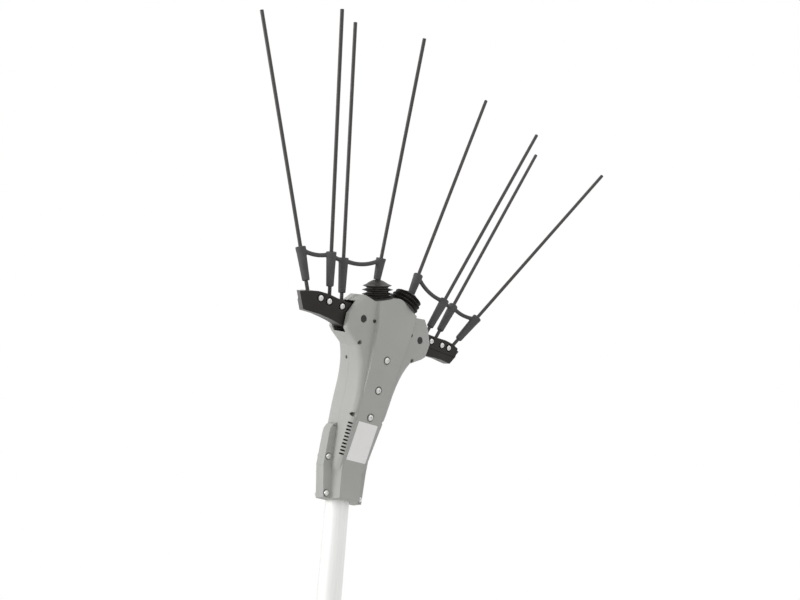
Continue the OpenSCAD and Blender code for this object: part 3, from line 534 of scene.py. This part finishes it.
def roofRise(h):
    # where the inner rod is at a height h square above the roof, the roof's normal, the rod's direction
    a = math.radians(head["roofSlope"])
    n = Vector((math.sin(a), 0, math.cos(a)))
    foot = rodPoint(bellows["innerRod"], 0) + Vector((head["pivotHalf"], 0, 0))
    d = rodPoint(bellows["innerRod"], 1) - rodPoint(bellows["innerRod"], 0)
    edge = Vector((head["roofHalf"], 0, head["shoulder"]))
    return foot + d * ((h - (foot - edge).dot(n)) / d.dot(n)), n, d


def roofDrop(x):
    # how far the rounded ridge lies under the flat of the roof
    a = math.radians(head["roofSlope"])
    r = head["ridgeR"]
    if abs(x) >= r * math.sin(a):
        return 0.0
    return r / math.cos(a) - abs(x) * math.tan(a) - math.sqrt(r * r - x * x)


def bellowsRadius(h):
    # flange, then the folds, then the cone up to the rod's sleeve
    b = bellows
    low = b["baseHeight"]
    top = low + len(b["tipR"]) * b["pitch"]
    if h < low:
        t = h / low
        rim = min(1, max(0, (1 - t) / b["baseShare"])) ** b["basePower"]
        return b["rootR"] + (b["baseR"] - b["rootR"]) * rim
    if h < top:
        t = (h - low) / b["pitch"]
        k = int(t)
        rib = max(0, 1 - abs(t - k - b["ribPlaceShare"]) / b["ribHalfShare"]) ** b["ribPower"]
        return b["rootR"] + (b["tipR"][k] - b["rootR"]) * rib
    t = min(1, (h - top) / b["coneHeight"])
    return b["neckR"] + (b["rootR"] - b["neckR"]) * (1 - t) ** b["conePower"]


def makeBellows(side, node):
    b = bellows
    height = b["baseHeight"] + len(b["tipR"]) * b["pitch"] + b["coneHeight"]
    middle = height - b["coneHeight"] / 2
    cross, n, d = roofRise(middle)
    a = math.radians(head["roofSlope"])
    seat = cross - n * middle + Vector((-math.cos(a), 0, math.sin(a))) * b["shift"]
    across = Vector((0, 1, 0))
    upSlope = n.cross(across)
    pivot = Vector((head["pivotHalf"], 0, 0))
    exitPoint = cross + d * ((height - middle) / d.dot(n))
    rows = []
    for k in range(int(height / b["step"]) + 1):
        h = k * b["step"]
        rows.append((seat + n * h, bellowsRadius(h), h))
    for rise, gap in zip(b["lipRise"], b["lipGap"]):
        rows.append((exitPoint + n * rise, sleeves["lowR"] + gap, height))
    bm = bmesh.new()
    rings = []
    for centre, r, h in rows:
        # the folds are squeezed on the ridge's side, where the flange is also cut shorter
        tilt = math.radians(b["tilt"]) * min(1, max(0, h / b["baseHeight"] - 1))
        up = upSlope * math.cos(tilt) - n * math.sin(tilt)
        cut = max(0, r - b["ridgeSideR"]) if h < b["baseHeight"] else 0
        ring = []
        for k in range(b["sides"]):
            turn = 2 * math.pi * k / b["sides"]
            reach = r - cut * max(0, math.sin(turn)) ** 2
            p = centre + (across * math.cos(turn) + up * math.sin(turn)) * reach
            if h == 0:
                p -= n * (roofDrop(p.x) * n.z)
            ring.append(bm.verts.new(rakePoint(side, p - pivot)))
        rings.append(ring)
    wallFaces(bm, rings)
    bm.faces.new(rings[0])
    bm.faces.new(rings[-1])
    bmesh.ops.recalc_face_normals(bm, faces=bm.faces)
    mesh = bpy.data.meshes.new(node + "Rubber")
    bm.to_mesh(mesh)
    bm.free()
    mesh.materials.append(bellowsRubber)
    o = bpy.data.objects.new(node + "Rubber", mesh)
    scene.collection.objects.link(o)
    o.data.shade_smooth()
    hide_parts(node)
    low = seat + n * b["fixedHeight"]
    top = seat + n * height
    rakePoint(side, low - pivot)
    rakePoint(side, top - pivot)
    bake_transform(o)
    print("bellows:", node, len(o.data.polygons), "faces")


makeBellows(-1, "left_bellows")
makeBellows(1, "right_bellows")


# screw heads

# domeShares: share of the radius and of the height, from the rim up
screws = {
    "domeR": 4.2, "domeHeight": 1.5, "socketR": 1.9, "socketDepth": 1.1, "socketSides": 6, "sides": 24,
    "domeShares": ((1, 0), (0.97, 0.35), (0.86, 0.7), (0.68, 0.93), (0.56, 1)),
}


def headMesh():
    # a low dome with a six-sided socket, axis +Z, flat side at 0
    b = screws
    half = math.pi / b["socketSides"]
    turns = [2 * math.pi * k / b["sides"] for k in range(b["sides"])]
    mesh = bpy.data.meshes.new("screwHead")
    bm = bmesh.new()
    rings = []
    for r, z in b["domeShares"]:
        rings.append([bm.verts.new((b["domeR"] * r * math.cos(a), b["domeR"] * r * math.sin(a),
                                    b["domeHeight"] * z)) for a in turns])
    for depth in (0, b["socketDepth"]):
        row = []
        for a in turns:
            flat = math.cos(half) / math.cos((a + half) % (2 * half) - half)
            row.append(bm.verts.new((b["socketR"] * flat * math.cos(a), b["socketR"] * flat * math.sin(a),
                                     b["domeHeight"] - depth)))
        rings.append(row)
    wallFaces(bm, rings)
    bm.faces.new(rings[-1])
    bm.faces.new(list(reversed(rings[0])))
    bmesh.ops.scale(bm, vec=(1 / mmPerMetre,) * 3, verts=bm.verts)
    bm.to_mesh(mesh)
    bm.free()
    return bpy.data.objects.new("screwHead", mesh)


headShape = headMesh()
scene.collection.objects.link(headShape)

# the clamp flange's upper part leans about half as far as the neck and starts a little above the bend
flange = {"lean": 10.0, "from": 10.0}


def bendPoint(x, y, s):
    return Vector((x, y, head["bendHeight"] + s)) / mmPerMetre


def flangePoint(x, y, s):
    a = math.radians(flange["lean"])
    return bendPoint(x, y * math.cos(a) - s * math.sin(a), flange["from"] + y * math.sin(a) + s * math.cos(a))


def makeHeads(name, points, body, tilt, size, finish=screwZinc):
    mesh = bpy.data.meshes.new(name + "Points")
    mesh.from_pydata([tuple(p) for p in points], [], [])
    o = bpy.data.objects.new(name + "Points", mesh)
    scene.collection.objects.link(o)
    turn = (math.radians(90 + tilt), 0, 0)  # faces -Y, leaning with its panel
    made = runTree(o, placeHeads, {"Head": headShape, "Turn": turn, "Size": size, "Material": finish}, name)
    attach(made, body)


# half widths, depths and heights of the heads' seats, and sizes against the head shape above
centreHeads = {"front": -32.9, "heights": (-47, -93, -134), "size": 1.05}
lowFlangeHeads = {"half": 31.5, "front": -13, "height": -32.5, "size": 0.98}
highFlangeHeads = {"half": 35, "front": -13, "height": 12, "size": 0.98}
# painted shade: dark domes in the two small holes stand for the shade inside them
holeShadeHeads = {"half": 38, "front": -25.9, "height": 2.3, "size": 0.62}
clampHeads = {"out": (34.2, 58.4, 74), "front": -13.5, "height": 7.2, "size": 0.98}


def pair(point, row):
    return [point(side * row["half"], row["front"], row["height"]) for side in (-1, 1)]


lean = head["lean"]
centrePlaces = [headPoint(0, centreHeads["front"], z) for z in centreHeads["heights"]]
makeHeads("centreScrewDomes", centrePlaces, "housing", lean, centreHeads["size"])
makeHeads("lowFlangeDomes", pair(bendPoint, lowFlangeHeads), "housing", 0, lowFlangeHeads["size"])
makeHeads("highFlangeDomes", pair(flangePoint, highFlangeHeads), "housing", flange["lean"],
          highFlangeHeads["size"])
# painted shade: dark rubber-black domes fill the two small holes where there is only shade
makeHeads("holePlugs", pair(headPoint, holeShadeHeads), "housing", lean, holeShadeHeads["size"],
          bellowsRubber)
for name, side in (("left", -1), ("right", 1)):
    places = [headPoint(side * (head["pivotHalf"] + u), clampHeads["front"], clampHeads["height"])
              for u in clampHeads["out"]]
    makeHeads(name + "ClampDomes", places, name + "_rake", lean, clampHeads["size"])
bpy.data.objects.remove(headShape)
print("screw heads placed")


# blank label plate

# the neck's front panel runs back by panelFall over panelRun, from panelTop down
plate = {
    "width": 36.7, "top": -143.0, "low": -201.0, "corner": 1.5, "cornerSteps": 5, "thick": 0.35, "sunk": 0.1,
    "panelFront": 33, "panelFall": 7, "panelTop": 125, "panelRun": 102,
    "lowTone": (0.87, 0.86, 0.85), "highTone": (0.9, 0.89, 0.88),
    "rough": 0.4, "bump": 0.04, "bumpHeight": 0.0001,
}


def plateFront(z):
    return -(plate["panelFront"] - plate["panelFall"] * (-z - plate["panelTop"]) / plate["panelRun"])


def labelMaterial():
    m, tree, skin = newMaterial("blankLabel")
    grain = put(tree, "ShaderNodeGroup", node_tree=mouldGrain)
    tone = ramp(tree, grain.outputs["Cloud"], mouldedSkin["cloudStops"], plate["lowTone"], plate["highTone"])
    link(tree, tone.outputs["Color"], skin.inputs["Base Color"])
    bump = put(tree, "ShaderNodeBump")
    bump.inputs["Strength"].default_value = plate["bump"]
    bump.inputs["Distance"].default_value = plate["bumpHeight"]
    link(tree, grain.outputs["Height"], bump.inputs["Height"])
    link(tree, bump.outputs["Normal"], skin.inputs["Normal"])
    skin.inputs["Roughness"].default_value = plate["rough"]
    return m


def makePlate():
    w, c = plate["width"] / 2, plate["corner"]
    outline = []
    for cx, cz, a0 in ((w - c, plate["top"] - c, 0), (c - w, plate["top"] - c, 90),
                       (c - w, plate["low"] + c, 180), (w - c, plate["low"] + c, 270)):
        for k in range(plate["cornerSteps"] + 1):
            a = math.radians(a0 + 90 / plate["cornerSteps"] * k)
            outline.append((cx + c * math.cos(a), cz + c * math.sin(a)))
    bm = bmesh.new()
    back = [bm.verts.new(headPoint(x, plateFront(z) + plate["sunk"], z)) for x, z in outline]
    face = [bm.verts.new(headPoint(x, plateFront(z) - plate["thick"], z)) for x, z in outline]
    bm.faces.new(face)
    bm.faces.new(list(reversed(back)))
    wallFaces(bm, [back, face])
    bmesh.ops.recalc_face_normals(bm, faces=bm.faces)
    mesh = bpy.data.meshes.new("labelPlate")
    bm.to_mesh(mesh)
    bm.free()
    o = bpy.data.objects.new("labelPlate", mesh)
    scene.collection.objects.link(o)
    o.data.materials.append(labelMaterial())
    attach(o, "housing")


makePlate()
print("label plate placed")


# floor, light, camera

# places and sizes in metres, power in watts, spread in degrees
studio = {"world": 0.72, "floorHalf": 6, "floorDrop": 0.002, "floor": (0.86, 0.86, 0.86), "floorRough": 0.8}
lamps = {
    "sideLight": {"place": (-2.0, 0.6, 0.75), "target": (0, -0.05, 0.55),
                  "size": 1.0, "power": 1.7, "spread": 40},
    "topLight": {"place": (0.2, -0.2, 2.3), "target": (0, -0.05, 0.5),
                 "size": 1.5, "power": 6.0, "spread": 180},
}
# solved from the photo together with the head
photoCamera = {
    "sensor": 36, "lens": 38.25, "near": 0.01, "place": (-0.8016, -0.9808, 0.1014),
    "right": (0.7189, -0.6927, 0.0578), "up": (-0.3024, -0.2368, 0.9233), "back": (-0.6259, -0.6812, -0.3796),
}


def makeFloor():
    w, z = studio["floorHalf"], -studio["floorDrop"]
    mesh = bpy.data.meshes.new("floor")
    mesh.from_pydata([(-w, -w, z), (w, -w, z), (w, w, z), (-w, w, z)], [], [(0, 1, 2, 3)])
    floor = bpy.data.objects.new("floor", mesh)
    scene.collection.objects.link(floor)
    m, tree, skin = newMaterial("paleFloor")
    skin.inputs["Base Color"].default_value = (*studio["floor"], 1)
    skin.inputs["Roughness"].default_value = studio["floorRough"]
    floor.data.materials.append(m)


def makeWorld():
    # plain white where it is seen, mirrored or looked at through glass, and softer as light
    world = bpy.data.worlds.new("studio")
    scene.world = world
    world.use_nodes = True
    wt = world.node_tree
    wt.nodes.clear()
    rays = put(wt, "ShaderNodeLightPath")
    seen = put(wt, "ShaderNodeMath", operation="ADD", use_clamp=True)
    glass = put(wt, "ShaderNodeMath", operation="ADD", use_clamp=True)
    white = put(wt, "ShaderNodeBackground")
    soft = put(wt, "ShaderNodeBackground")
    soft.inputs["Strength"].default_value = studio["world"]
    soft.inputs["Color"].default_value = (1, 1, 1, 1)
    white.inputs["Color"].default_value = (1, 1, 1, 1)
    mix = put(wt, "ShaderNodeMixShader")
    out = put(wt, "ShaderNodeOutputWorld")
    link(wt, rays.outputs["Is Camera Ray"], seen.inputs[0])
    link(wt, rays.outputs["Is Glossy Ray"], seen.inputs[1])
    link(wt, seen.outputs["Value"], glass.inputs[0])
    link(wt, rays.outputs["Is Transmission Ray"], glass.inputs[1])
    link(wt, glass.outputs["Value"], mix.inputs["Fac"])
    link(wt, soft.outputs["Background"], mix.inputs[1])
    link(wt, white.outputs["Background"], mix.inputs[2])
    link(wt, mix.outputs["Shader"], out.inputs["Surface"])


def makeLamp(name, row):
    data = bpy.data.lights.new(name, "AREA")
    data.size = row["size"]
    data.energy = row["power"]
    data.spread = math.radians(row["spread"])
    o = bpy.data.objects.new(name, data)
    scene.collection.objects.link(o)
    o.location = row["place"]
    o.rotation_mode = "QUATERNION"
    o.rotation_quaternion = (Vector(row["target"]) - Vector(row["place"])).to_track_quat("-Z", "Y")


def makeCamera():
    row = photoCamera
    data = bpy.data.cameras.new("photoCamera")
    data.sensor_width = row["sensor"]
    data.lens = row["lens"]
    data.clip_start = row["near"]
    o = bpy.data.objects.new("photoCamera", data)
    scene.collection.objects.link(o)
    o.rotation_mode = "QUATERNION"
    o.rotation_quaternion = Matrix((row["right"], row["up"], row["back"])).transposed().to_quaternion()
    o.location = row["place"]
    scene.camera = o


makeFloor()
makeWorld()
for name, row in lamps.items():
    makeLamp(name, row)
makeCamera()
print("floor, light and camera placed")
scene.view_settings.view_transform = "Standard"
